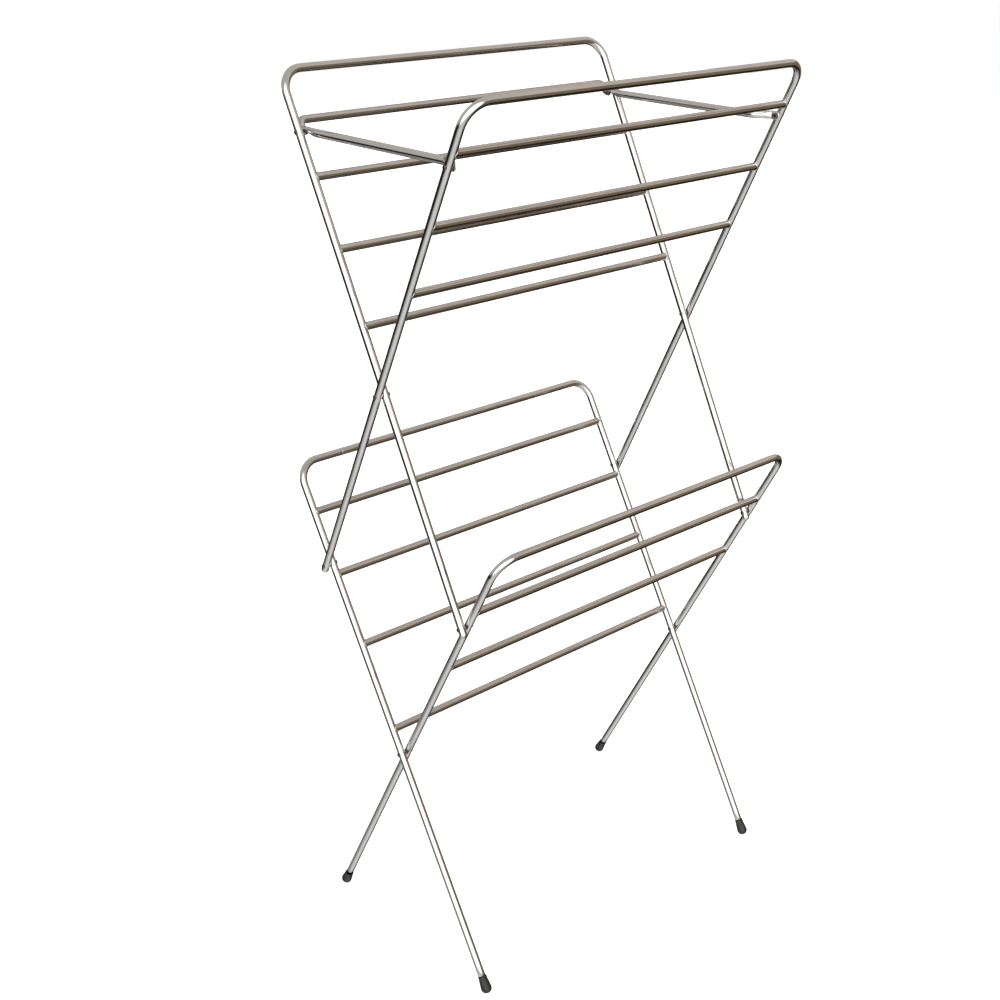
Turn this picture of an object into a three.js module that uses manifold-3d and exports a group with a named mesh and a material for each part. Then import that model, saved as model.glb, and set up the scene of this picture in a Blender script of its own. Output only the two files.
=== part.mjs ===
// Free-standing folding clothes drying rack: four bent tube frames in two stacked scissor pairs, with
// twelve drying rungs welded between their legs, a spreader stay that holds it open, rivets and foot caps.
// Millimetres. +X runs along the drying bars, +Y towards the rear, +Z up. The origin is on the floor,
// under the middle of the rack. A place on a frame is given by its distance up the leg from the crossing.
import * as THREE from "three";
import { mergeVertices } from "three/addons/utils/BufferGeometryUtils.js";
import Module from "manifold-3d";

// Tube
const TUBE_R = 6;
const TUBE_SIDES = 16;
const BEND_R = 35;
const BEND_STEPS = 8;
const GAP = 0.3;

// Legs across the rack: neighbouring legs stand one pitch apart
const LEG_X = 315;
const LEG_PITCH = 12.6;

// The two scissor crossings, and how far the legs lean from upright, in degrees
const LOWER_CROSS_Z = 356;
const UPPER_CROSS_Z = 951;
const LOWER_LEAN = 29.07;
const UPPER_LEAN = 26.27;

// Distances up the leg from the crossing to each frame's top bar
const LOWER_REAR_TOP = 484;
const LOWER_FRONT_TOP = 460;
const UPPER_TOP = 472;
const END_PAST_PIVOT = 14;

// Distances up the leg from the crossing to each rung, top rung first
const LOWER_REAR_RUNGS = [405, 302, 184, 41];
const LOWER_FRONT_RUNGS = [351, 220];
const UPPER_REAR_RUNGS = [318, 213, 100];
const UPPER_FRONT_RUNGS = [401, 290, 181];

// Spreader stay: where it meets the two upper frames, the rise to its bar, its bends, its tips, which are
// pressed thin against the front legs, and the notch over each pin
const STAY_PIN_UP = 383;
const STAY_HINGE_UP = 381.5;
const STAY_RISE_BEHIND = 9;
const STAY_BAR_BEHIND = 18;
const STAY_BAR_RISE = 13;
const STAY_BEND_R = 10;
const STAY_TIP = 6;
const TIP_THICK = 3;
const JOGGLE_START = 34;
const JOGGLE_END = 12;
const JOGGLE_R = 18;
const NOTCH_R = 2.6;
const NOTCH_SLOPE = THREE.MathUtils.degToRad(18);

// Rivets
const SHANK_R = 2;
const HOLE_R = SHANK_R + GAP;
const LOOSE_HOLE_R = 3.2;
const HEAD_R = 3.5;
const HEAD_H = 1.6;
const RIVET_SIDES = 12;

// Foot caps: a rubber bulb, with its sizes taken along the leg from where its axis meets the floor
const BULB_R = 8.8;
const BULB_AT = 8.9;
const BULB_STEPS = 4;
const MOUTH_R = 7.2;
const CAP_LENGTH = 29;
const BORE_FLOOR = 9.3;
const CAP_SIDES = 20;

const STEEL = { color: 0xc9c3bb, roughness: 0.32, metalness: 1 };
const RIVET_STEEL = { color: 0xb4b0aa, roughness: 0.38, metalness: 1 };
const RUBBER = { color: 0x131313, roughness: 0.7, metalness: 0 };

const wasm = await Module();
wasm.setup();

const lowerLean = THREE.MathUtils.degToRad(LOWER_LEAN);
const upperLean = THREE.MathUtils.degToRad(UPPER_LEAN);

// The deepest reach is between the two lower top bars, so the crossings stand a little forward of centre.
const crossY = ((LOWER_FRONT_TOP - LOWER_REAR_TOP) / 2) * Math.sin(lowerLean);

// Each frame is named after the side that its top bar is on.
const FRAMES = {
  lower_rear: { lean: lowerLean, crossZ: LOWER_CROSS_Z, left: -LEG_X, right: LEG_X },
  lower_front: {
    lean: -lowerLean,
    crossZ: LOWER_CROSS_Z,
    left: -LEG_X + LEG_PITCH,
    right: LEG_X + LEG_PITCH,
  },
  upper_rear: { lean: upperLean, crossZ: UPPER_CROSS_Z, left: -LEG_X, right: LEG_X },
  upper_front: {
    lean: -upperLean,
    crossZ: UPPER_CROSS_Z,
    left: -LEG_X - LEG_PITCH,
    right: LEG_X + LEG_PITCH,
  },
};

// The outer pivots, where a lower and an upper leg meet, and the floor, as distances from the crossings
const rise = UPPER_CROSS_Z - LOWER_CROSS_Z;
const lowerPivotUp = (rise * Math.sin(upperLean)) / Math.sin(lowerLean + upperLean);
const upperPivotUp = (-rise * Math.sin(lowerLean)) / Math.sin(lowerLean + upperLean);
const floorUp = -LOWER_CROSS_Z / Math.cos(lowerLean);

function onLeg(frame, x, distance) {
  const y = crossY + distance * Math.sin(frame.lean);
  const z = frame.crossZ + distance * Math.cos(frame.lean);
  return new THREE.Vector3(x, y, z);
}

function solidOf(geometry) {
  const bare = geometry.clone();
  bare.deleteAttribute("normal");
  bare.deleteAttribute("uv");
  const merged = mergeVertices(bare, 1e-4);
  return new wasm.Manifold(
    new wasm.Mesh({
      numProp: 3,
      vertProperties: merged.attributes.position.array,
      triVerts: new Uint32Array(merged.index.array),
    }),
  );
}

function geometryOf(solid) {
  const mesh = solid.getMesh();
  const geometry = new THREE.BufferGeometry();
  geometry.setAttribute("position", new THREE.BufferAttribute(mesh.vertProperties, 3));
  geometry.setIndex(new THREE.BufferAttribute(mesh.triVerts, 1));
  geometry.computeVertexNormals();
  return geometry;
}

// A tube's centre line, sampled only at its ends and round its bends. Each inner corner has a bend.
class BentPath extends THREE.Curve {
  constructor(corners) {
    super();
    this.points = [];
    this.tangents = [];
    const ways = corners.slice(1).map((corner, i) => corner.at.clone().sub(corners[i].at).normalize());
    this.add(corners[0].at, ways[0]);
    for (let i = 1; i < ways.length; i++) this.addBend(corners[i], ways[i - 1], ways[i]);
    this.add(corners.at(-1).at, ways.at(-1));
  }

  add(point, tangent) {
    this.points.push(point.clone());
    this.tangents.push(tangent.clone());
  }

  addBend(corner, into, out) {
    const turn = into.angleTo(out);
    const axis = into.clone().cross(out).normalize();
    const inward = axis.clone().cross(into);
    const start = corner.at.clone().addScaledVector(into, -corner.bend * Math.tan(turn / 2));
    const centre = start.addScaledVector(inward, corner.bend);
    for (let i = 0; i <= corner.steps; i++) {
      const angle = (turn * i) / corner.steps;
      const arm = inward.clone().multiplyScalar(-corner.bend).applyAxisAngle(axis, angle);
      this.add(arm.add(centre), into.clone().applyAxisAngle(axis, angle));
    }
  }

  get steps() {
    return this.points.length - 1;
  }

  getPointAt(u) {
    return this.points[Math.round(u * this.steps)].clone();
  }

  getTangentAt(u) {
    return this.tangents[Math.round(u * this.steps)].clone();
  }
}

function roundShape(radius, sides) {
  const outline = [];
  for (let i = 0; i < sides; i++) {
    const angle = (2 * Math.PI * (i + 0.5)) / sides;
    outline.push(new THREE.Vector2(radius * Math.cos(angle), radius * Math.sin(angle)));
  }
  return new THREE.Shape(outline);
}

function bentTube(corners) {
  const path = new BentPath(corners);
  const section = roundShape(TUBE_R, TUBE_SIDES);
  return new THREE.ExtrudeGeometry(section, { steps: path.steps, extrudePath: path });
}

function roundEnd(at) {
  const ball = new THREE.SphereGeometry(TUBE_R * 0.98, TUBE_SIDES, TUBE_SIDES / 2);
  return ball.translate(at.x, at.y, at.z);
}

function crossHole(at, radius) {
  const drill = new THREE.CylinderGeometry(radius, radius, 4 * TUBE_R, RIVET_SIDES);
  return solidOf(drill.rotateZ(Math.PI / 2).translate(at.x, at.y, at.z));
}

// A frame is two legs and a top bar in one tube. Its feet end square in a cap, or round past a pivot.
function frameTube(frame, { top, bottom, rounded, holes, looseHole }) {
  const corners = [
    { at: onLeg(frame, frame.left, bottom) },
    { at: onLeg(frame, frame.left, top), bend: BEND_R, steps: BEND_STEPS },
    { at: onLeg(frame, frame.right, top), bend: BEND_R, steps: BEND_STEPS },
    { at: onLeg(frame, frame.right, bottom) },
  ];
  let tube = solidOf(bentTube(corners));
  for (const x of [frame.left, frame.right]) {
    if (rounded) tube = tube.add(solidOf(roundEnd(onLeg(frame, x, bottom))));
    for (const hole of holes) {
      const radius = hole === looseHole ? LOOSE_HOLE_R : HOLE_R;
      tube = tube.subtract(crossHole(onLeg(frame, x, hole), radius));
    }
  }
  return tube;
}

// A rung is a straight tube whose ends are coped round the two legs.
function rung(frame, distance) {
  const middle = onLeg(frame, (frame.left + frame.right) / 2, distance);
  const bar = new THREE.CylinderGeometry(TUBE_R, TUBE_R, frame.right - frame.left, TUBE_SIDES);
  let solid = solidOf(bar.rotateZ(Math.PI / 2).translate(middle.x, middle.y, middle.z));
  for (const x of [frame.left, frame.right]) {
    const at = onLeg(frame, x, distance);
    const cope = new THREE.CylinderGeometry(TUBE_R + GAP, TUBE_R + GAP, 6 * TUBE_R, TUBE_SIDES);
    cope.rotateX(Math.PI / 2 - frame.lean).translate(at.x, at.y, at.z);
    solid = solid.subtract(solidOf(cope));
  }
  return solid;
}

// The stay is a U. Its bar stands a little above its arms, close behind the pins. The arms pass inside the
// rear legs, then step out to the hinges on the front legs.
function stay() {
  const pin = onLeg(FRAMES.upper_rear, 0, STAY_PIN_UP);
  const hinge = onLeg(FRAMES.upper_front, 0, STAY_HINGE_UP);
  const raised = pin.clone().add(new THREE.Vector3(0, 0, STAY_BAR_RISE));
  const forward = hinge.clone().sub(pin).normalize();
  const armX = LEG_X - LEG_PITCH;
  const along = (from, distance, x) => from.clone().addScaledVector(forward, distance).setX(x);
  const arm = (side) => [
    { at: along(hinge, STAY_TIP - TUBE_R, side * LEG_X) },
    { at: along(hinge, -JOGGLE_END, side * LEG_X), bend: JOGGLE_R, steps: 3 },
    { at: along(hinge, -JOGGLE_START, side * armX), bend: JOGGLE_R, steps: 3 },
    { at: along(pin, -STAY_RISE_BEHIND, side * armX), bend: STAY_BEND_R, steps: 4 },
    { at: along(raised, -STAY_BAR_BEHIND, side * armX), bend: STAY_BEND_R, steps: 6 },
  ];
  const pressed = (geometry) => solidOf(pressTips(geometry, hinge.y + JOGGLE_END));
  let solid = pressed(bentTube([...arm(-1), ...arm(1).reverse()]));
  for (const side of [-1, 1]) {
    solid = solid.add(pressed(roundEnd(along(hinge, STAY_TIP - TUBE_R, side * LEG_X))));
    solid = solid.subtract(crossHole(along(hinge, 0, side * LEG_X), HOLE_R));
    solid = solid.subtract(notch(along(pin, 0, side * armX), forward));
  }
  return solid;
}

// Whatever is ahead of the given y is pressed outwards, until it is thin.
function pressTips(geometry, y) {
  const outer = LEG_X + TUBE_R;
  const points = geometry.getAttribute("position");
  for (let i = 0; i < points.count; i++) {
    const x = points.getX(i);
    const depth = ((outer - Math.abs(x)) * TIP_THICK) / (2 * TUBE_R);
    if (points.getY(i) < y) points.setX(i, Math.sign(x) * (outer - depth));
  }
  return geometry;
}

// The notch that drops over a pin is open downwards, with a round roof. Its front side slopes down
// gently, because the pin moves forward under the arm as the rack folds and the stay lifts.
function notch(at, forward) {
  const slope = NOTCH_SLOPE;
  const reach = (2 * TUBE_R + NOTCH_R * Math.cos(slope)) / Math.sin(slope);
  const outline = new THREE.Shape();
  outline.moveTo(-NOTCH_R, -2 * TUBE_R);
  outline.lineTo(-NOTCH_R, 0);
  outline.absarc(0, 0, NOTCH_R, Math.PI, Math.PI / 2 - slope, true);
  outline.lineTo(NOTCH_R * Math.sin(slope) + reach * Math.cos(slope), -2 * TUBE_R);
  const width = 4 * TUBE_R;
  const block = new THREE.ExtrudeGeometry(outline, { depth: width, bevelEnabled: false, curveSegments: 8 });
  block.translate(0, 0, -width / 2);
  const up = new THREE.Vector3(0, forward.z, -forward.y);
  const across = forward.clone().cross(up);
  block.applyMatrix4(new THREE.Matrix4().makeBasis(forward, up, across).setPosition(at));
  return solidOf(block);
}

// A rivet runs through two neighbouring tubes and has a domed head outside each.
function rivet(at, xA, xB) {
  const reach = Math.abs(xA - xB) / 2 + TUBE_R + GAP;
  const headOutline = [
    [HEAD_R, reach],
    [HEAD_R, reach + 0.3 * HEAD_H],
    [0.65 * HEAD_R, reach + 0.85 * HEAD_H],
    [0, reach + HEAD_H],
  ];
  const half = [[SHANK_R, reach], ...headOutline];
  const profile = [...half.map(([r, x]) => [r, -x]).reverse(), ...half];
  const turned = new THREE.LatheGeometry(
    profile.map(([r, x]) => new THREE.Vector2(r, x)),
    RIVET_SIDES,
  );
  return solidOf(turned.rotateZ(Math.PI / 2).translate((xA + xB) / 2, at.y, at.z));
}

// A foot cap has a blind bore for the leg, and is flat where it stands on the floor.
function footCap(frame, x) {
  const profile = [];
  for (let i = 0; i <= BULB_STEPS; i++) {
    const angle = (Math.PI / 2) * (i / BULB_STEPS);
    profile.push([BULB_R * Math.sin(angle), BULB_AT - BULB_R * Math.cos(angle)]);
  }
  profile.push(
    [BULB_R - 0.3, BULB_AT + 4],
    [(BULB_R + MOUTH_R) / 2, BULB_AT + 9],
    [MOUTH_R + 0.2, CAP_LENGTH - 5],
    [MOUTH_R, CAP_LENGTH],
    [TUBE_R + GAP, CAP_LENGTH],
    [TUBE_R + GAP, BORE_FLOOR],
    [0, BORE_FLOOR],
  );
  const cap = new THREE.LatheGeometry(
    profile.map(([r, s]) => new THREE.Vector2(r, s)),
    CAP_SIDES,
  );
  const foot = onLeg(frame, x, floorUp);
  cap.rotateX(Math.PI / 2 - frame.lean).translate(foot.x, foot.y, foot.z);
  const size = 4 * CAP_LENGTH;
  const aboveFloor = new THREE.BoxGeometry(size, size, size).translate(foot.x, foot.y, size / 2);
  return solidOf(cap).intersect(solidOf(aboveFloor));
}

const rack = new THREE.Group();

function place(name, solid, look) {
  const mesh = new THREE.Mesh(geometryOf(solid), new THREE.MeshStandardMaterial(look));
  mesh.name = name;
  rack.add(mesh);
}

const capped = { bottom: floorUp + BORE_FLOOR + GAP, holes: [0, lowerPivotUp] };
const pivoted = { bottom: upperPivotUp - END_PAST_PIVOT + TUBE_R, rounded: true, top: UPPER_TOP };
const tubes = {
  lower_rear: { ...capped, top: LOWER_REAR_TOP },
  lower_front: { ...capped, top: LOWER_FRONT_TOP },
  upper_rear: { ...pivoted, holes: [0, upperPivotUp, STAY_PIN_UP], looseHole: upperPivotUp },
  upper_front: { ...pivoted, holes: [0, upperPivotUp, STAY_HINGE_UP] },
};
const rungs = {
  lower_rear: LOWER_REAR_RUNGS,
  lower_front: LOWER_FRONT_RUNGS,
  upper_rear: UPPER_REAR_RUNGS,
  upper_front: UPPER_FRONT_RUNGS,
};
for (const [name, frame] of Object.entries(FRAMES)) {
  place(name + "_frame", frameTube(frame, tubes[name]), STEEL);
  rungs[name].forEach((distance, i) => place(name + "_rung_" + (i + 1), rung(frame, distance), STEEL));
}
place("spreader_stay", stay(), STEEL);

// Each rivet set: where it is, and the two tubes that it goes through on each side. A pressed tip counts as
// the tube whose far side would be the tip's.
const tipX = LEG_X + 2 * TUBE_R - TIP_THICK;
const armLegs = { left: -LEG_X + LEG_PITCH, right: LEG_X - LEG_PITCH };
const armTips = { left: -tipX, right: tipX };
const { lower_rear, lower_front, upper_rear, upper_front } = FRAMES;
const rivets = {
  lower_cross_rivet: [onLeg(lower_rear, 0, 0), lower_rear, lower_front],
  upper_cross_rivet: [onLeg(upper_rear, 0, 0), upper_rear, upper_front],
  rear_pivot_rivet: [onLeg(lower_rear, 0, lowerPivotUp), lower_rear, upper_front],
  front_pivot_rivet: [onLeg(lower_front, 0, lowerPivotUp), lower_front, upper_rear],
  stay_hinge_rivet: [onLeg(upper_front, 0, STAY_HINGE_UP), upper_front, armTips],
  stay_pin: [onLeg(upper_rear, 0, STAY_PIN_UP), upper_rear, armLegs],
};
for (const side of ["left", "right"]) {
  for (const [name, [at, first, second]] of Object.entries(rivets)) {
    place(name + "_" + side, rivet(at, first[side], second[side]), RIVET_STEEL);
  }
  place("front_foot_cap_" + side, footCap(lower_rear, lower_rear[side]), RUBBER);
  place("rear_foot_cap_" + side, footCap(lower_front, lower_front[side]), RUBBER);
}

export default rack;
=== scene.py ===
"""The looks of a folding clothes drying rack in bright steel tube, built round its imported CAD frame."""
import math

import bmesh
import bpy
from mathutils import Matrix, Vector


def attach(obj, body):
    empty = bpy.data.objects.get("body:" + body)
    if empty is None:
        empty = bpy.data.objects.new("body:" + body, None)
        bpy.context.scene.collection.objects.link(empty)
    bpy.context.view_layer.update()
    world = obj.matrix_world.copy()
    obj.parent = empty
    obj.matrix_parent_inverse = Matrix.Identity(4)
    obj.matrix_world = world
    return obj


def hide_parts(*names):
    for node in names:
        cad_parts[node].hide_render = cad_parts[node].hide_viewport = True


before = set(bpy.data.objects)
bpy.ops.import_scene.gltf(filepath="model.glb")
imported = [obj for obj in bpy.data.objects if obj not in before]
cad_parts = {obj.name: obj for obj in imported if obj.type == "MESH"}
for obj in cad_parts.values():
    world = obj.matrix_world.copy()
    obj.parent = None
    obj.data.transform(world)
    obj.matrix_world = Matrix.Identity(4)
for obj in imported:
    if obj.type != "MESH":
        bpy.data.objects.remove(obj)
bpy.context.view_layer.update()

# ---------------------------------------------------------------- camera

CAMERA_AT = Vector((-1.5586, -1.6640, 1.6407))
CAMERA_TARGET = Vector((0.0764, -0.0058, 0.5788))
CAMERA_ROLL = math.radians(0.544)

camera_data = bpy.data.cameras.new("camera")
camera_data.lens = 54.7
camera_data.sensor_width = 36
camera_data.shift_x = -0.08
camera_data.shift_y = 0.055
camera_data.clip_end = 60
camera = bpy.data.objects.new("camera", camera_data)
bpy.context.scene.collection.objects.link(camera)
camera.rotation_mode = "QUATERNION"
camera.location = CAMERA_AT
aim = (CAMERA_TARGET - CAMERA_AT).to_track_quat("-Z", "Y")
camera.rotation_quaternion = aim @ Matrix.Rotation(CAMERA_ROLL, 4, "Z").to_quaternion()
bpy.context.scene.camera = camera

# ---------------------------------------------------------------- sizes, metres, as in the CAD

TUBE_R = 0.00594
BEND_R = 0.035
LEG_X = 0.315
PITCH = 0.0126
LOWER_LEAN = math.radians(29.07)
UPPER_LEAN = math.radians(26.27)
LOWER_CROSS_Z = 0.356
UPPER_CROSS_Z = 0.951
CROSS_Y = -0.012 * math.sin(LOWER_LEAN)
RISE = UPPER_CROSS_Z - LOWER_CROSS_Z
LOWER_PIVOT = RISE * math.sin(UPPER_LEAN) / math.sin(LOWER_LEAN + UPPER_LEAN)
UPPER_PIVOT = -RISE * math.sin(LOWER_LEAN) / math.sin(LOWER_LEAN + UPPER_LEAN)
FLOOR = -LOWER_CROSS_Z / math.cos(LOWER_LEAN)
CAP_FLOOR = 0.0093
END_PAST_PIVOT = 0.014
STAY_PIN = 0.383
STAY_HINGE = 0.3815

FRAMES = {
    "lower_rear": dict(
        lean=LOWER_LEAN, cross=LOWER_CROSS_Z, legs=(-LEG_X, LEG_X), top=0.484,
        bottom=FLOOR + CAP_FLOOR, holes=(0, LOWER_PIVOT), rungs=(0.405, 0.302, 0.184, 0.041),
    ),
    "lower_front": dict(
        lean=-LOWER_LEAN, cross=LOWER_CROSS_Z, legs=(-LEG_X + PITCH, LEG_X + PITCH), top=0.460,
        bottom=FLOOR + CAP_FLOOR, holes=(0, LOWER_PIVOT), rungs=(0.351, 0.220),
    ),
    "upper_rear": dict(
        lean=UPPER_LEAN, cross=UPPER_CROSS_Z, legs=(-LEG_X, LEG_X), top=0.472,
        bottom=UPPER_PIVOT - END_PAST_PIVOT, holes=(0, UPPER_PIVOT, STAY_PIN), rungs=(0.318, 0.213, 0.100),
    ),
    "upper_front": dict(
        lean=-UPPER_LEAN, cross=UPPER_CROSS_Z, legs=(-LEG_X - PITCH, LEG_X + PITCH), top=0.472,
        bottom=UPPER_PIVOT - END_PAST_PIVOT, holes=(0, UPPER_PIVOT, STAY_HINGE), rungs=(0.401, 0.290, 0.181),
    ),
}


def on_leg(f, x, up):
    return Vector((x, CROSS_Y + up * math.sin(f["lean"]), f["cross"] + up * math.cos(f["lean"])))


def leg_way(f):
    return Vector((0, math.sin(f["lean"]), math.cos(f["lean"])))


# ---------------------------------------------------------------- materials

class Nodes:
    """A short way to write a node tree."""

    def __init__(self, tree):
        self.tree = tree
        tree.nodes.clear()

    def add(self, kind, links=None, **values):
        node = self.tree.nodes.new(kind)
        for name, value in values.items():
            setattr(node, name, value)
        for socket, value in (links or {}).items():
            if isinstance(value, bpy.types.NodeSocket):
                self.tree.links.new(value, node.inputs[socket])
            else:
                node.inputs[socket].default_value = value
        return node

    def maths(self, operation, a, b, clamp=False):
        return self.add("ShaderNodeMath", {0: a, 1: b}, operation=operation, use_clamp=clamp).outputs[0]

    def ramp(self, factor, stops):
        node = self.add("ShaderNodeValToRGB", {"Fac": factor})
        node.color_ramp.interpolation = "LINEAR"
        points = node.color_ramp.elements
        while len(points) < len(stops):
            points.new(0.5)
        for point, (place, colour) in zip(points, stops):
            point.position = place
            point.color = (*colour, 1)
        return node.outputs["Color"]


def grey(value):
    return (value, value, value)


def steel_material(name, tint_dark, tint_light, roughness, grain):
    """Polished tube: fine lines round it, faint long drawing streaks, and a few dull patches."""
    material = bpy.data.materials.new(name)
    material.use_nodes = True
    n = Nodes(material.node_tree)
    place = n.add("ShaderNodeAttribute", attribute_name="grain").outputs["Vector"]

    def noise(scale, detail, sharp=0.5):
        spread = n.add("ShaderNodeVectorMath", {0: place, 1: scale}, operation="MULTIPLY").outputs[0]
        return n.add(
            "ShaderNodeTexNoise", {"Vector": spread, "Scale": 1.0, "Detail": detail, "Roughness": sharp}
        ).outputs["Fac"]

    rings = noise((2600, 90, 90), 3)
    streaks = noise((14, 420, 420), 4)
    patches = noise((22, 60, 60), 3, 0.6)
    colour = n.ramp(patches, [(0.3, tint_dark), (0.7, tint_light)])
    rough = n.maths("MULTIPLY_ADD", rings, grain)
    rough.node.inputs[2].default_value = roughness - grain / 2
    worn = n.maths("MULTIPLY_ADD", patches, 0.10)
    worn.node.inputs[2].default_value = -0.05
    rough = n.maths("ADD", rough, worn, clamp=True)
    height = n.maths("ADD", n.maths("MULTIPLY", rings, 0.6), n.maths("MULTIPLY", streaks, 0.5))
    bump = n.add("ShaderNodeBump", {"Height": height, "Strength": 0.10, "Distance": 0.0002})
    shader = n.add(
        "ShaderNodeBsdfPrincipled",
        {"Base Color": colour, "Roughness": rough, "Metallic": 1.0, "Normal": bump.outputs[0]},
    )
    n.add("ShaderNodeOutputMaterial", {"Surface": shader.outputs[0]})
    return material


def rubber_material():
    """Moulded rubber: matte, finely pitted, a little dusty in random patches."""
    material = bpy.data.materials.new("cap_rubber")
    material.use_nodes = True
    n = Nodes(material.node_tree)
    place = n.add("ShaderNodeTexCoord").outputs["Object"]
    pits = n.add("ShaderNodeTexNoise", {"Vector": place, "Scale": 900.0, "Detail": 4.0}).outputs["Fac"]
    scuffs = n.add("ShaderNodeTexNoise", {"Vector": place, "Scale": 120.0, "Detail": 5.0}).outputs["Fac"]
    colour = n.ramp(scuffs, [(0.40, grey(0.006)), (0.78, (0.022, 0.021, 0.020))])
    rough = n.ramp(scuffs, [(0.3, grey(0.42)), (0.8, grey(0.62))])
    bump = n.add("ShaderNodeBump", {"Height": pits, "Strength": 0.35, "Distance": 0.0002})
    shader = n.add(
        "ShaderNodeBsdfPrincipled",
        {"Base Color": colour, "Roughness": rough, "Normal": bump.outputs[0]},
    )
    n.add("ShaderNodeOutputMaterial", {"Surface": shader.outputs[0]})
    return material


TUBE = steel_material("tube_steel", (0.57, 0.56, 0.55), (0.64, 0.63, 0.62), 0.13, 0.06)
RUNG = steel_material("rung_steel", (0.55, 0.53, 0.51), (0.62, 0.60, 0.58), 0.15, 0.06)
RIVET = steel_material("rivet_steel", (0.075, 0.072, 0.070), (0.12, 0.115, 0.11), 0.34, 0.10)
RUBBER = rubber_material()

# ---------------------------------------------------------------- mesh building

SIDES = 40
RIVET_SIDES = 28
CAP_SIDES = 48
END_ROUND = TUBE_R * 0.9


def mesh_volume(mesh):
    bm = bmesh.new()
    bm.from_mesh(mesh)
    volume = bm.calc_volume(signed=True)
    bm.free()
    return volume


def mesh_object(name, verts, faces, grain, material):
    mesh = bpy.data.meshes.new(name)
    mesh.from_pydata(verts, [], faces)
    if grain:
        layer = mesh.attributes.new("grain", "FLOAT_VECTOR", "POINT")
        layer.data.foreach_set("vector", [c for g in grain for c in g])
    mesh.materials.append(material)
    mesh.shade_smooth()
    if mesh_volume(mesh) < 0:
        mesh.flip_normals()
    obj = bpy.data.objects.new(name, mesh)
    bpy.context.scene.collection.objects.link(obj)
    return obj


def ring_faces(count, sides):
    """Quads between neighbouring rings, and a fan of one face over each end."""
    faces = []
    for i in range(count - 1):
        for j in range(sides):
            k = (j + 1) % sides
            a, b = i * sides, (i + 1) * sides
            faces.append((a + j, a + k, b + k, b + j))
    faces.append(tuple(range(sides))[::-1])
    faces.append(tuple((count - 1) * sides + j for j in range(sides)))
    return faces


def bent_path(corners):
    """(point, direction) along a bent centre line. Each inner corner is (place, bend radius)."""
    out = []
    places = [c[0] for c in corners]
    ways = [(b - a).normalized() for a, b in zip(places, places[1:])]
    out.append((places[0], ways[0]))
    for i in range(1, len(places) - 1):
        into, away, radius = ways[i - 1], ways[i], corners[i][1]
        turn = into.angle(away)
        axis = into.cross(away).normalized()
        start = places[i] - into * radius * math.tan(turn / 2)
        centre = start + axis.cross(into) * radius
        steps = max(8, round(math.degrees(turn) / 3.5))
        for k in range(steps + 1):
            spin = Matrix.Rotation(turn * k / steps, 3, axis)
            out.append((centre + spin @ (start - centre), spin @ into))
    out.append((places[-1], ways[-1]))
    return out


def with_stops(path, stops):
    """The same path with more rings, at the given distances along it, on its straight runs."""
    run = 0.0
    out = [path[0]]
    for (a, wa), (b, wb) in zip(path, path[1:]):
        length = (b - a).length
        straight = wa.angle(wb) < 1e-4
        for s in sorted(stops):
            if straight and run + 1e-5 < s < run + length - 1e-5:
                out.append((a + wa * (s - run), wa))
        out.append((b, wb))
        run += length
    return out


def path_length(path):
    return sum((b[0] - a[0]).length for a, b in zip(path, path[1:]))


def tube(name, path, material, shape=None, cap_start=0.0, cap_end=0.0):
    """A smooth tube along a path. shape(s, normal) gives a radius. A rounded end is cap metres long."""
    verts, grain = [], []
    total = path_length(path)
    side = Vector((1, 0, 0)) if abs(path[0][1].x) < 0.9 else Vector((0, 0, 1))
    last_way = path[0][1]
    side = (side - last_way * side.dot(last_way)).normalized()
    s = 0.0
    rings = []
    for i, (place, way) in enumerate(path):
        if i:
            s += (place - path[i - 1][0]).length
            side = last_way.rotation_difference(way) @ side
            side = (side - way * side.dot(way)).normalized()
        last_way = way
        rings.append((place, way, side.copy(), s, 1.0))
    dome = 8

    def end_rings(ring, length, sign):
        place, way, across, at, _ = ring
        made = []
        for k in range(1, dome + 1):
            angle = math.pi / 2 * k / dome
            shift = way * sign * length * math.sin(angle)
            made.append((place + shift, way, across, at + sign * length * math.sin(angle),
                         max(0.04, math.cos(angle))))
        return made

    if cap_start:
        rings = end_rings(rings[0], cap_start, -1)[::-1] + rings
    if cap_end:
        rings = rings + end_rings(rings[-1], cap_end, 1)
    for place, way, across, at, scale in rings:
        up = way.cross(across)
        for j in range(SIDES):
            angle = 2 * math.pi * j / SIDES
            out = across * math.cos(angle) + up * math.sin(angle)
            radius = (shape(at, out, place) if shape else TUBE_R) * scale
            verts.append(place + out * radius)
            grain.append((at, TUBE_R * math.cos(angle), TUBE_R * math.sin(angle)))
    return mesh_object(name, verts, ring_faces(len(rings), SIDES), grain, material)


def near(value, centre, width):
    """1 at the centre, easing to 0 at width on either side."""
    gap = abs(value - centre) / width
    return 0.5 * (1 + math.cos(math.pi * gap)) if gap < 1 else 0.0


# ---------------------------------------------------------------- frames

FLAT_DEPTH = 0.0004
FLAT_HALF = 0.008
SEAM_X = -0.232
SEAM_DEPTH = 0.00018
SEAM_HALF = 0.0008


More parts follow.
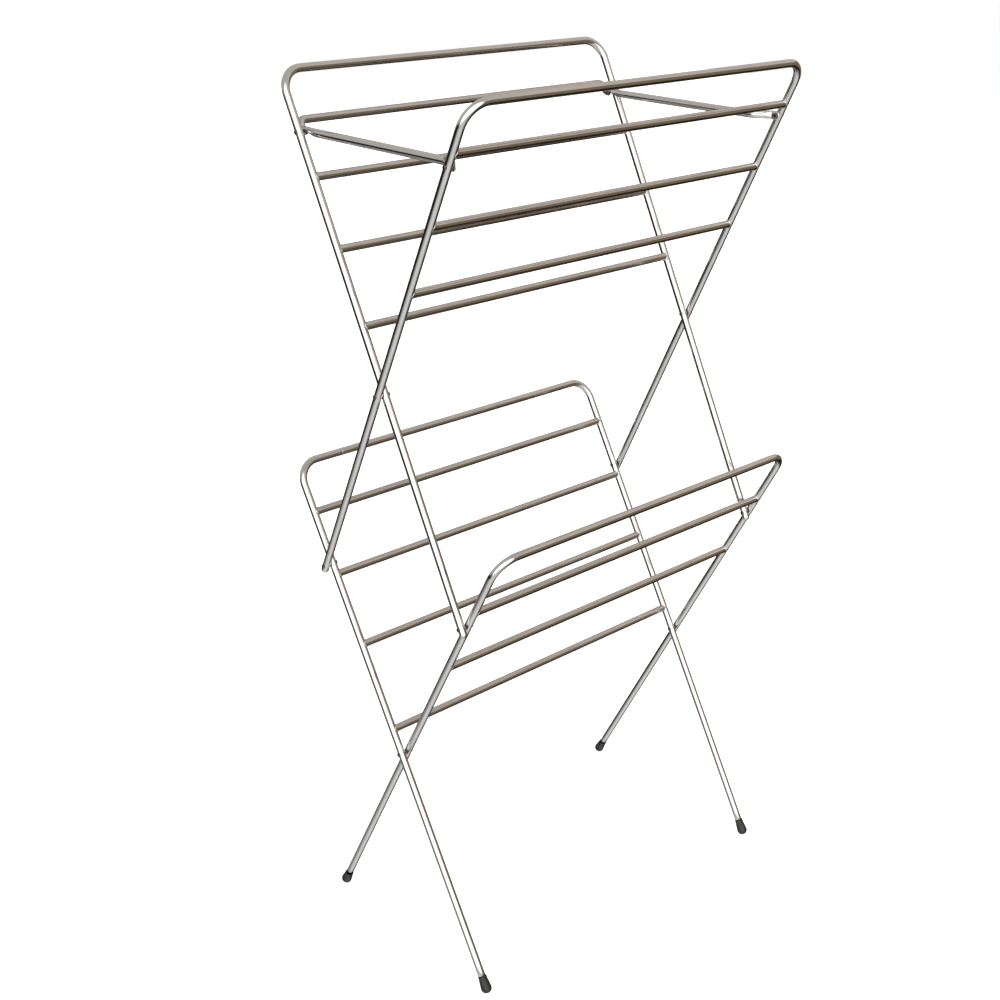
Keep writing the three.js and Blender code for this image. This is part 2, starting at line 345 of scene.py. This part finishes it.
def build_frame(name, f):
    """Two legs and a top bar in one tube, pressed a little flat where a rivet goes through a leg."""
    left, right = f["legs"]
    rounded = name.startswith("upper")
    cap = END_ROUND if rounded else 0.0
    low = f["bottom"] + cap
    corners = [
        (on_leg(f, left, low), 0), (on_leg(f, left, f["top"]), BEND_R),
        (on_leg(f, right, f["top"]), BEND_R), (on_leg(f, right, low), 0),
    ]
    path = bent_path(corners)
    total = path_length(path)
    stops = []
    for hole in f["holes"]:
        for k in range(-8, 9):
            s = hole - low + FLAT_HALF * k / 8
            stops += [s, total - s]
    seam = None
    if name == "lower_rear":
        seam = total / 2 + SEAM_X
        stops += [seam + 0.0002 * k for k in range(-4, 5)]
    stops += [total * k / 60 for k in range(1, 60)]
    way = leg_way(f)
    middle = (left + right) / 2

    def shape(s, out, place):
        radius = TUBE_R
        if abs(place.x - middle) > (right - left) / 2 - 0.001:
            up = (place - on_leg(f, place.x, 0)).dot(way)
            for hole in f["holes"]:
                press = near(up, hole, FLAT_HALF)
                if press:
                    limit = (TUBE_R - FLAT_DEPTH * press) / max(abs(out.x), 1e-6)
                    radius = min(radius, limit)
        if seam is not None:
            radius -= SEAM_DEPTH * near(s, seam, SEAM_HALF)
        return radius

    piece = tube(name + "_tube", with_stops(path, stops), TUBE, shape, cap, cap)
    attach(piece, name)
    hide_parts(name + "_frame")


# ---------------------------------------------------------------- rungs

WELD_OUT = 0.0016
WELD_RISE = 0.0009
# (how far out from the leg, as a share of the bead, and how proud the bead is there)
BEAD = [(-0.30, 1.0), (0.0, 1.0), (0.25, 0.80), (0.5, 0.48), (0.75, 0.2), (1.0, 0.06), (1.3, 0.0)]
BETWEEN = [0.02, 0.1, 0.25, 0.4, 0.5, 0.6, 0.75, 0.9, 0.98]


def build_rung(frame_name, f, index, up):
    """A tube coped round both legs, with a small uneven weld bead where it meets each one."""
    left, right = f["legs"]
    way = leg_way(f)
    flat = way.cross(Vector((1, 0, 0)))
    centre_left = on_leg(f, left, up)
    centre_right = on_leg(f, right, up)
    name = f"{frame_name}_rung_{index + 1}"
    verts, grain = [], []
    span = right - left

    def bead(angle, end):
        return 1 + 0.16 * math.sin(9 * angle + 2.1 * index + end) + 0.10 * math.sin(17 * angle + end * 3 + up)

    rows = [("left", depth, swell) for depth, swell in BEAD]
    rows += [("mid", share, 0.0) for share in BETWEEN]
    rows += [("right", depth, swell) for depth, swell in BEAD[::-1]]
    for kind, a, swell in rows:
        for j in range(SIDES):
            angle = 2 * math.pi * j / SIDES
            u, v = math.cos(angle), math.sin(angle)
            if kind == "mid":
                x = left + span * a
                radius = TUBE_R
            else:
                end = 0 if kind == "left" else 1
                radius = TUBE_R + WELD_RISE * swell * bead(angle, end)
                saddle = math.sqrt(max(0.0, TUBE_R ** 2 - (min(radius, TUBE_R) * v) ** 2))
                away = saddle + WELD_OUT * a
                x = left + away if kind == "left" else right - away
            centre = on_leg(f, x, up)
            verts.append(centre + way * (radius * u) + flat * (radius * v))
            grain.append((x + up * 3, TUBE_R * u, TUBE_R * v))
    piece = mesh_object(name + "_tube", verts, ring_faces(len(rows), SIDES), grain, RUNG)
    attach(piece, frame_name)
    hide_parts(name)


# ---------------------------------------------------------------- turned pieces

def turned(name, profile, matrix, material, sides):
    """A profile of (radius, height) turned about Z, then placed. Both ends of it are on the axis."""
    verts, grain = [], []
    for r, h in profile:
        for j in range(sides):
            angle = 2 * math.pi * j / sides
            rr = max(r, 1e-5)
            point = Vector((rr * math.cos(angle), rr * math.sin(angle), h))
            verts.append(matrix @ point)
            grain.append((h, rr * math.cos(angle) * 3, rr * math.sin(angle) * 3))
    return mesh_object(name, verts, ring_faces(len(profile), sides), grain, material)


def rounded_profile(points, radius):
    """Softens each inner corner of a profile."""
    steps = 4
    out = [points[0]]
    for i in range(1, len(points) - 1):
        p, a, b = Vector(points[i]), Vector(points[i - 1]), Vector(points[i + 1])
        r = min(radius, (a - p).length * 0.45, (b - p).length * 0.45)
        start, end = p + (a - p).normalized() * r, p + (b - p).normalized() * r
        for k in range(steps + 1):
            t = k / steps
            q = start.lerp(p, t).lerp(p.lerp(end, t), t)
            out.append((q.x, q.y))
    out.append(points[-1])
    return out


SHANK_R = 0.002
HEAD_R = 0.0035
HEAD_TOP = 0.0014
HEAD_GAP = 0.0003
HEAD_EDGE = 0.0006
DOME_STEPS = 8


def build_rivet(name, body, at, x_a, x_b):
    """A domed head on each side of two tubes, on a shank that shows between them."""
    half = abs(x_a - x_b) / 2
    seat = half + TUBE_R - FLAT_DEPTH * 0.8
    top = half + TUBE_R + HEAD_GAP + HEAD_TOP
    right_half = [(SHANK_R, 0.0), (SHANK_R, seat - 0.0005)]
    right_half += [(HEAD_R * 0.9, seat - 0.0001), (HEAD_R, seat + 0.0002)]
    for k in range(DOME_STEPS + 1):
        angle = math.pi / 2 * k / DOME_STEPS
        rise = (top - seat - HEAD_EDGE) * math.sin(angle)
        right_half.append((HEAD_R * math.cos(angle) ** 0.8, seat + HEAD_EDGE + rise))
    profile = [(r, -h) for r, h in right_half[::-1]] + right_half[1:]
    place = Matrix.Translation(Vector(((x_a + x_b) / 2, at.y, at.z))) @ Matrix.Rotation(math.pi / 2, 4, "Y")
    piece = turned(name + "_turned", profile, place, RIVET, RIVET_SIDES)
    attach(piece, body)
    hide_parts(name)


BULB_R = 0.0088
BULB_AT = 0.0089
BULB_STEPS = 8
MOUTH_R = 0.0071
BORE_R = 0.00605
CAP_LENGTH = 0.029
CAP_ROUND = 0.0010


def cap_profile():
    """A round bulb, a neck that narrows to a lip, and a blind bore."""
    outline = []
    for k in range(BULB_STEPS + 1):
        angle = math.pi / 2 * k / BULB_STEPS
        outline.append((BULB_R * math.sin(angle), BULB_AT - BULB_R * math.cos(angle)))
    outline += [(0.0084, 0.0129), (0.0079, 0.0179), (0.0073, 0.0225), (MOUTH_R - 0.0002, 0.0262)]
    outline += [(MOUTH_R, 0.0268), (MOUTH_R, 0.0284), (MOUTH_R - 0.0004, CAP_LENGTH)]
    outline += [(BORE_R + 0.0003, CAP_LENGTH), (BORE_R, 0.0284), (BORE_R, 0.0090), (0.0, 0.0090)]
    return outline


def build_cap(name, body, f, x):
    """A rubber bulb pushed over the leg's end, with a lip round its mouth, flat on the floor."""
    foot = on_leg(f, x, FLOOR)
    place = Matrix.Translation(foot) @ Matrix.Rotation(-f["lean"], 4, "X")
    piece = turned(name + "_moulded", rounded_profile(cap_profile(), CAP_ROUND), place, RUBBER, CAP_SIDES)
    for vertex in piece.data.vertices:
        if vertex.co.z < 0.0:
            vertex.co.z = 0.0
    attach(piece, body)
    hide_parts(name)


# ---------------------------------------------------------------- stay

STAY_RISE_BEHIND = 0.009
STAY_BAR_BEHIND = 0.018
STAY_BAR_RISE = Vector((0, 0, 0.013))
STAY_BEND_R = 0.010
STAY_TIP = 0.006
TIP_THICK = 0.003
TIP_WIDENS = 0.15
JOGGLE_START = 0.034
JOGGLE_END = 0.012
JOGGLE_R = 0.018
PRESS_START = JOGGLE_END + 0.005
PRESS_RUN = 0.010
NOTCH_HALF = 0.0026
NOTCH_SLOPE = math.radians(18)
CUT_BELOW = 0.012
CUT_HALF_WIDTH = 0.008


def build_stay():
    """A U of the same tube: a raised bar, arms stepped out to the hinges, and a notch over each pin."""
    pin = on_leg(FRAMES["upper_rear"], 0, STAY_PIN)
    hinge = on_leg(FRAMES["upper_front"], 0, STAY_HINGE)
    ahead = (hinge - pin).normalized()
    arm_x = LEG_X - PITCH
    cap = END_ROUND

    def spot(start, distance, x):
        p = start + ahead * distance
        return Vector((x, p.y, p.z))

    def arm(side):
        return [
            (spot(hinge, STAY_TIP - cap, side * LEG_X), 0),
            (spot(hinge, -JOGGLE_END, side * LEG_X), JOGGLE_R),
            (spot(hinge, -JOGGLE_START, side * arm_x), JOGGLE_R),
            (spot(pin, -STAY_RISE_BEHIND, side * arm_x), STAY_BEND_R),
            (spot(pin + STAY_BAR_RISE, -STAY_BAR_BEHIND, side * arm_x), STAY_BEND_R),
        ]

    path = bent_path(arm(-1) + arm(1)[::-1])
    total = path_length(path)
    stops = [total * k / 40 for k in range(1, 40)]
    for k in range(1, 5):
        stops += [0.001 * k, total - 0.001 * k]
    piece = tube("stay_tube", with_stops(path, stops), TUBE, None, cap, cap)
    press_tips(piece, hinge, ahead)
    cut_notches(piece, pin, ahead, arm_x)
    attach(piece, "stay")
    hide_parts("spreader_stay")


def press_tips(piece, hinge, ahead):
    """Presses the arms' ends thin against the front legs, easing in over the step out."""
    outer = LEG_X + TUBE_R
    for vertex in piece.data.vertices:
        behind = (Vector((vertex.co.x, hinge.y, hinge.z)) - vertex.co).dot(ahead)
        share = min(1.0, max(0.0, (PRESS_START - behind) / PRESS_RUN))
        share = share * share * (3 - 2 * share)
        depth = (outer - abs(vertex.co.x)) * (1 - share * (1 - TIP_THICK / (2 * TUBE_R)))
        vertex.co.x = math.copysign(outer - depth, vertex.co.x)
        above = vertex.co.z - hinge.z - ahead.z / ahead.y * (vertex.co.y - hinge.y)
        vertex.co.z += above * share * TIP_WIDENS


def cut_notches(piece, pin, ahead, arm_x):
    """Cuts the two notches that drop over the pins, open downwards, with a gently sloping front side."""
    half, slope = NOTCH_HALF, NOTCH_SLOPE
    reach = (CUT_BELOW + half * math.cos(slope)) / math.sin(slope)
    steps = 12
    up = Vector((0, -ahead.z, ahead.y)) if ahead.y > 0 else Vector((0, ahead.z, -ahead.y))
    outline = [(half * math.sin(slope) + reach * math.cos(slope), -CUT_BELOW)]
    for k in range(steps + 1):
        turn = math.pi / 2 - slope + (math.pi / 2 + slope) * k / steps
        outline.append((half * math.cos(turn), half * math.sin(turn)))
    outline.append((-half, -CUT_BELOW))
    for side in (-1, 1):
        verts = []
        for x in (-CUT_HALF_WIDTH, CUT_HALF_WIDTH):
            for u, v in outline:
                verts.append(Vector((side * arm_x + x, pin.y, pin.z)) + ahead * u + up * v)
        count = len(outline)
        faces = [tuple(range(count)), tuple(range(count, 2 * count))[::-1]]
        for i in range(count):
            k = (i + 1) % count
            faces.append((i, i + count, k + count, k))
        cutter = mesh_object("cutter", verts, faces, None, TUBE)
        cut = piece.modifiers.new("notch", "BOOLEAN")
        cut.operation = "DIFFERENCE"
        cut.solver = "EXACT"
        cut.object = cutter
        with bpy.context.temp_override(object=piece, active_object=piece, selected_objects=[piece]):
            bpy.ops.object.modifier_apply(modifier=cut.name)
        bpy.data.objects.remove(cutter, do_unlink=True)


# ---------------------------------------------------------------- the rack

for frame_name, shape_of in FRAMES.items():
    build_frame(frame_name, shape_of)
    for rung_index, rung_up in enumerate(shape_of["rungs"]):
        build_rung(frame_name, shape_of, rung_index, rung_up)
build_stay()

ARM_LEGS = (-LEG_X + PITCH, LEG_X - PITCH)
TIP_X = LEG_X + 2 * TUBE_R - TIP_THICK
ARM_TIPS = (-TIP_X, TIP_X)
RIVETS = {
    "lower_cross_rivet": ("lower_rear", "lower_rear", 0, "lower_front"),
    "upper_cross_rivet": ("upper_front", "upper_rear", 0, "upper_front"),
    "rear_pivot_rivet": ("lower_rear", "lower_rear", LOWER_PIVOT, "upper_front"),
    "front_pivot_rivet": ("lower_front", "lower_front", LOWER_PIVOT, "upper_rear"),
    "stay_hinge_rivet": ("upper_front", "upper_front", STAY_HINGE, ARM_TIPS),
    "stay_pin": ("upper_rear", "upper_rear", STAY_PIN, ARM_LEGS),
}
for rivet_name, (body, first, rivet_up, second) in RIVETS.items():
    at = on_leg(FRAMES[first], 0, rivet_up)
    second_legs = FRAMES[second]["legs"] if isinstance(second, str) else second
    for side, x_first, x_second in zip(("left", "right"), FRAMES[first]["legs"], second_legs):
        build_rivet(f"{rivet_name}_{side}", body, at, x_first, x_second)
for cap_name, body in (("front_foot_cap", "lower_rear"), ("rear_foot_cap", "lower_front")):
    for side, leg in zip(("left", "right"), FRAMES[body]["legs"]):
        build_cap(f"{cap_name}_{side}", body, FRAMES[body], leg)

# ---------------------------------------------------------------- studio

FLOOR_REACH = 9
FLOOR_Z = -0.0005
floor_corners = [(x * FLOOR_REACH, y * FLOOR_REACH, FLOOR_Z) for x, y in ((-1, -1), (1, -1), (1, 1), (-1, 1))]
floor_mesh = bpy.data.meshes.new("floor")
floor_mesh.from_pydata(floor_corners, [], [(0, 1, 2, 3)])
floor = bpy.data.objects.new("floor", floor_mesh)
bpy.context.scene.collection.objects.link(floor)
paper = bpy.data.materials.new("paper")
paper.use_nodes = True
n = Nodes(paper.node_tree)
matte = n.add("ShaderNodeBsdfDiffuse", {"Color": (0.9, 0.9, 0.9, 1)})
glow = n.add("ShaderNodeEmission", {"Color": (1, 1, 1, 1), "Strength": 0.75})
both = n.add("ShaderNodeAddShader", {0: matte.outputs[0], 1: glow.outputs[0]})
n.add("ShaderNodeOutputMaterial", {"Surface": both.outputs[0]})
floor_mesh.materials.append(paper)
floor.visible_glossy = False

# The studio round the rack is white paper to the eye. The steel sees a wide white screen on the camera's
# side, a pale ceiling, a light patch of floor in front, a warm dark room on the right and a black far side.
world = bpy.data.worlds.new("studio")
bpy.context.scene.world = world
world.use_nodes = True
n = Nodes(world.node_tree)
direction = n.add("ShaderNodeTexCoord").outputs["Generated"]


def facing(way, stops):
    """A colour by how nearly a direction is the given way: -1 is right behind it, 1 is along it."""
    dot = n.add("ShaderNodeVectorMath", {0: direction, 1: Vector(way).normalized()}, operation="DOT_PRODUCT")
    share = n.maths("MULTIPLY_ADD", dot.outputs["Value"], 0.5)
    share.node.inputs[2].default_value = 0.5
    return n.ramp(share, [((place + 1) / 2, colour) for place, colour in stops])


def added(a, b):
    return n.add("ShaderNodeVectorMath", {0: a, 1: b}, operation="ADD").outputs[0]


CEILING = (0.62, 0.60, 0.57)
TAUPE = (0.72, 0.645, 0.58)
BROWN = (0.25, 0.195, 0.13)
BLACK = (0.022, 0.018, 0.014)

right_room = facing((0, 0, 1), [
    (-1.0, BLACK), (-0.52, BLACK), (-0.40, BROWN), (0.26, BROWN),
    (0.38, TAUPE), (0.6, TAUPE), (1.0, CEILING),
])
left_room = facing((0, 0, 1), [
    (-1.0, grey(0.30)), (-0.46, grey(0.30)), (-0.36, BLACK), (-0.05, BLACK),
    (0.10, CEILING), (1.0, CEILING),
])
which_side = facing((1, 0, 0), [(0.10, grey(0.0)), (0.34, grey(1.0))])
rooms = n.add("ShaderNodeMix", {"Factor": which_side, 6: left_room, 7: right_room}, data_type="RGBA")
room = rooms.outputs[2]
screen = facing((-0.62, -0.78, 0.10), [(0.55, grey(0.0)), (0.66, grey(1.0)), (1.0, grey(1.0))])
patch = facing((-0.35, -0.30, -0.89), [
    (0.50, grey(0.0)), (0.72, grey(0.25)), (0.93, grey(0.62)), (1.0, grey(0.7)),
])
above_floor = facing((0, 0, 1), [(-0.42, grey(0.0)), (-0.28, grey(1.75))])
screen_light = n.add("ShaderNodeVectorMath", {0: screen, 1: above_floor}, operation="MULTIPLY").outputs[0]
lighting = added(room, added(screen_light, patch))
steel_light = n.add("ShaderNodeBackground", {"Color": lighting, "Strength": 1.0})
eye_white = n.add("ShaderNodeBackground", {"Color": (1, 1, 1, 1), "Strength": 1.0})
eye = n.add("ShaderNodeLightPath").outputs["Is Camera Ray"]
mixed = n.add("ShaderNodeMixShader", {0: eye, 1: steel_light.outputs[0], 2: eye_white.outputs[0]})
n.add("ShaderNodeOutputWorld", {"Surface": mixed.outputs[0]})

bpy.context.scene.view_settings.view_transform = "Standard"


def corners(box):
    return [list(corner) for corner in box]
